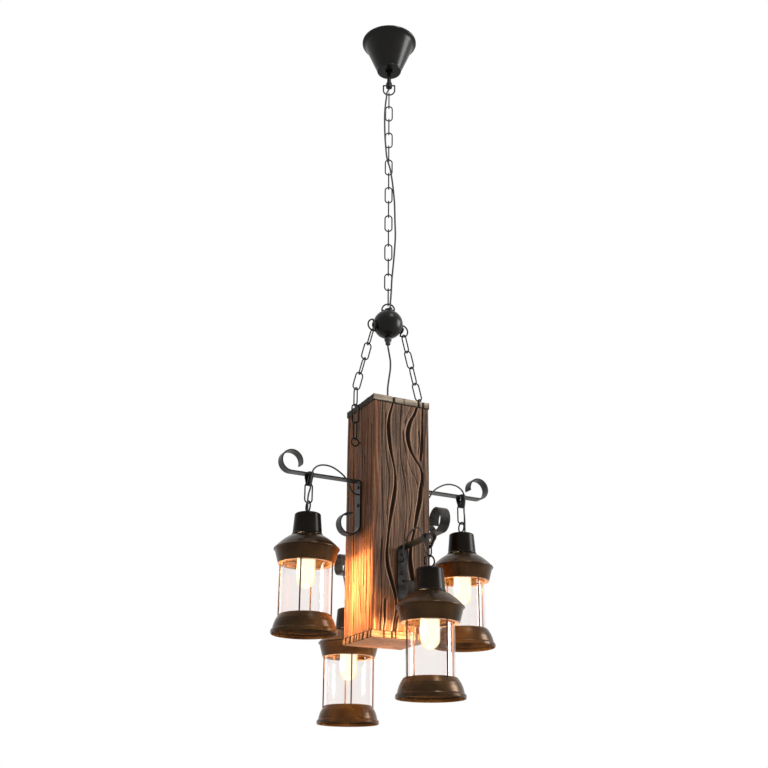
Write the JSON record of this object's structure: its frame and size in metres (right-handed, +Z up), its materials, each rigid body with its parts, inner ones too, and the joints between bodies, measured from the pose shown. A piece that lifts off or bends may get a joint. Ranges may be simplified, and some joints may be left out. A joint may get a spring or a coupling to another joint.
{
  "type": "chandelier",
  "caption": "Rustic chandelier: caged glass lanterns on scrolled strap arms round a hollow timber post, hung by chains from a ball and a ceiling canopy.",
  "frame": {"origin": "middle of the ceiling bracket's two screw slots, on the ceiling plane", "axes": "+Z up towards the ceiling, -Y the front, -X and +X the two upper arms"},
  "size_m": [0.487, 0.487, 1.6147],
  "materials": {
    "timber": "brushed and waxed old pine, dark brown",
    "clear_glass": "clear, slightly seeded",
    "bulb_glass": "lit warm white",
    "lamp_holder": "glazed white",
    "terminal_plastic": "matt ivory",
    "cable_sheath": "matt black sheath",
    "gland_plastic": "matt black",
    "zinc_steel": "zinc plated",
    "chain_steel": "black with worn edges",
    "strap_steel": "dark grey forged strap, satin",
    "black_steel": "satin black",
    "lantern_steel": "satin black with a brown cast"
  },
  "bodies": {
    "ceiling_mount": {"canopy": "black_steel", "ceiling_bracket": "zinc_steel", "bracket_nuts": "zinc_steel", "stem": "black_steel", "canopy_nut": "black_steel", "ceiling_terminal": "terminal_plastic", "ceiling_loop": "black_steel"},
    "chain": {"main_chain": "chain_steel", "main_cable": "cable_sheath"},
    "ball": {"ball": "black_steel", "ball_loops": "black_steel", "ball_nuts": "zinc_steel", "ball_gland": "gland_plastic", "drop_cable": "cable_sheath"},
    "post": {"side_chains": "chain_steel", "post_eyes": "chain_steel", "left_board": "timber", "right_board": "timber", "front_board": "timber", "back_board": "timber", "top_board": "timber", "bottom_board": "timber", "post_terminal": "terminal_plastic", "left_arm": "strap_steel", "right_arm": "strap_steel", "front_arm": "strap_steel", "back_arm": "strap_steel", "arm_screws": "strap_steel", "hangers": "strap_steel", "lantern_cables": "cable_sheath"},
    "left_link": {"left_link": "chain_steel"},
    "left_lantern": {"left_neck": "lantern_steel", "left_roof": "lantern_steel", "left_holder": "lamp_holder", "left_glass": "clear_glass", "left_cage": "lantern_steel"},
    "left_bulb": {"left_bulb": "bulb_glass"},
    "right_link": {"right_link": "chain_steel"},
    "right_lantern": {"right_neck": "lantern_steel", "right_roof": "lantern_steel", "right_holder": "lamp_holder", "right_glass": "clear_glass", "right_cage": "lantern_steel"},
    "right_bulb": {"right_bulb": "bulb_glass"},
    "front_link": {"front_link": "chain_steel"},
    "front_lantern": {"front_neck": "lantern_steel", "front_roof": "lantern_steel", "front_holder": "lamp_holder", "front_glass": "clear_glass", "front_cage": "lantern_steel"},
    "front_bulb": {"front_bulb": "bulb_glass"},
    "back_link": {"back_link": "chain_steel"},
    "back_lantern": {"back_neck": "lantern_steel", "back_roof": "lantern_steel", "back_holder": "lamp_holder", "back_glass": "clear_glass", "back_cage": "lantern_steel"},
    "back_bulb": {"back_bulb": "bulb_glass"}
  },
  "joints": [
    {"name": "chain_swing", "type": "hinge", "parent": "ceiling_mount", "child": "chain", "pos_m": [0, 0, -0.1565], "axis": [0.891, -0.454, 0], "range_deg": [-15, 15], "deforming": ["main_cable"]},
    {"name": "ball_swing", "type": "hinge", "parent": "chain", "child": "ball", "pos_m": [0, 0, -0.72775], "axis": [0.454, 0.891, 0], "range_deg": [-15, 15], "deforming": ["main_cable"]},
    {"name": "post_swing", "type": "hinge", "parent": "ball", "child": "post", "pos_m": [0, 0, -0.79649], "axis": [1, 0, 0], "range_deg": [-12, 12], "deforming": ["drop_cable"]},
    {"name": "left_link_swing", "type": "hinge", "parent": "post", "child": "left_link", "pos_m": [-0.178, 0, -1.16878], "axis": [-1, 0, 0], "range_deg": [-12, 12], "deforming": ["lantern_cables"]},
    {"name": "left_lantern_swing", "type": "hinge", "parent": "left_link", "child": "left_lantern", "pos_m": [-0.178, 0, -1.20493], "axis": [0, 1, 0], "range_deg": [-8, 15], "deforming": ["lantern_cables"]},
    {"name": "left_bulb_out", "type": "slide", "parent": "left_lantern", "child": "left_bulb", "axis": [0, 0, -1], "range_m": [0, 0.028]},
    {"name": "right_link_swing", "type": "hinge", "parent": "post", "child": "right_link", "pos_m": [0.178, 0, -1.16878], "axis": [1, 0, 0], "range_deg": [-12, 12], "deforming": ["lantern_cables"]},
    {"name": "right_lantern_swing", "type": "hinge", "parent": "right_link", "child": "right_lantern", "pos_m": [0.178, 0, -1.20493], "axis": [0, -1, 0], "range_deg": [-8, 15], "deforming": ["lantern_cables"]},
    {"name": "right_bulb_out", "type": "slide", "parent": "right_lantern", "child": "right_bulb", "axis": [0, 0, -1], "range_m": [0, 0.028]},
    {"name": "front_link_swing", "type": "hinge", "parent": "post", "child": "front_link", "pos_m": [0, -0.178, -1.31478], "axis": [0, -1, 0], "range_deg": [-12, 12], "deforming": ["lantern_cables"]},
    {"name": "front_lantern_swing", "type": "hinge", "parent": "front_link", "child": "front_lantern", "pos_m": [0, -0.178, -1.33193], "axis": [-1, 0, 0], "range_deg": [-8, 15], "deforming": ["lantern_cables"]},
    {"name": "front_bulb_out", "type": "slide", "parent": "front_lantern", "child": "front_bulb", "axis": [0, 0, -1], "range_m": [0, 0.028]},
    {"name": "back_link_swing", "type": "hinge", "parent": "post", "child": "back_link", "pos_m": [0, 0.178, -1.31478], "axis": [0, 1, 0], "range_deg": [-12, 12], "deforming": ["lantern_cables"]},
    {"name": "back_lantern_swing", "type": "hinge", "parent": "back_link", "child": "back_lantern", "pos_m": [0, 0.178, -1.35093], "axis": [1, 0, 0], "range_deg": [-8, 15], "deforming": ["lantern_cables"]},
    {"name": "back_bulb_out", "type": "slide", "parent": "back_lantern", "child": "back_bulb", "axis": [0, 0, -1], "range_m": [0, 0.028]}
  ]
}
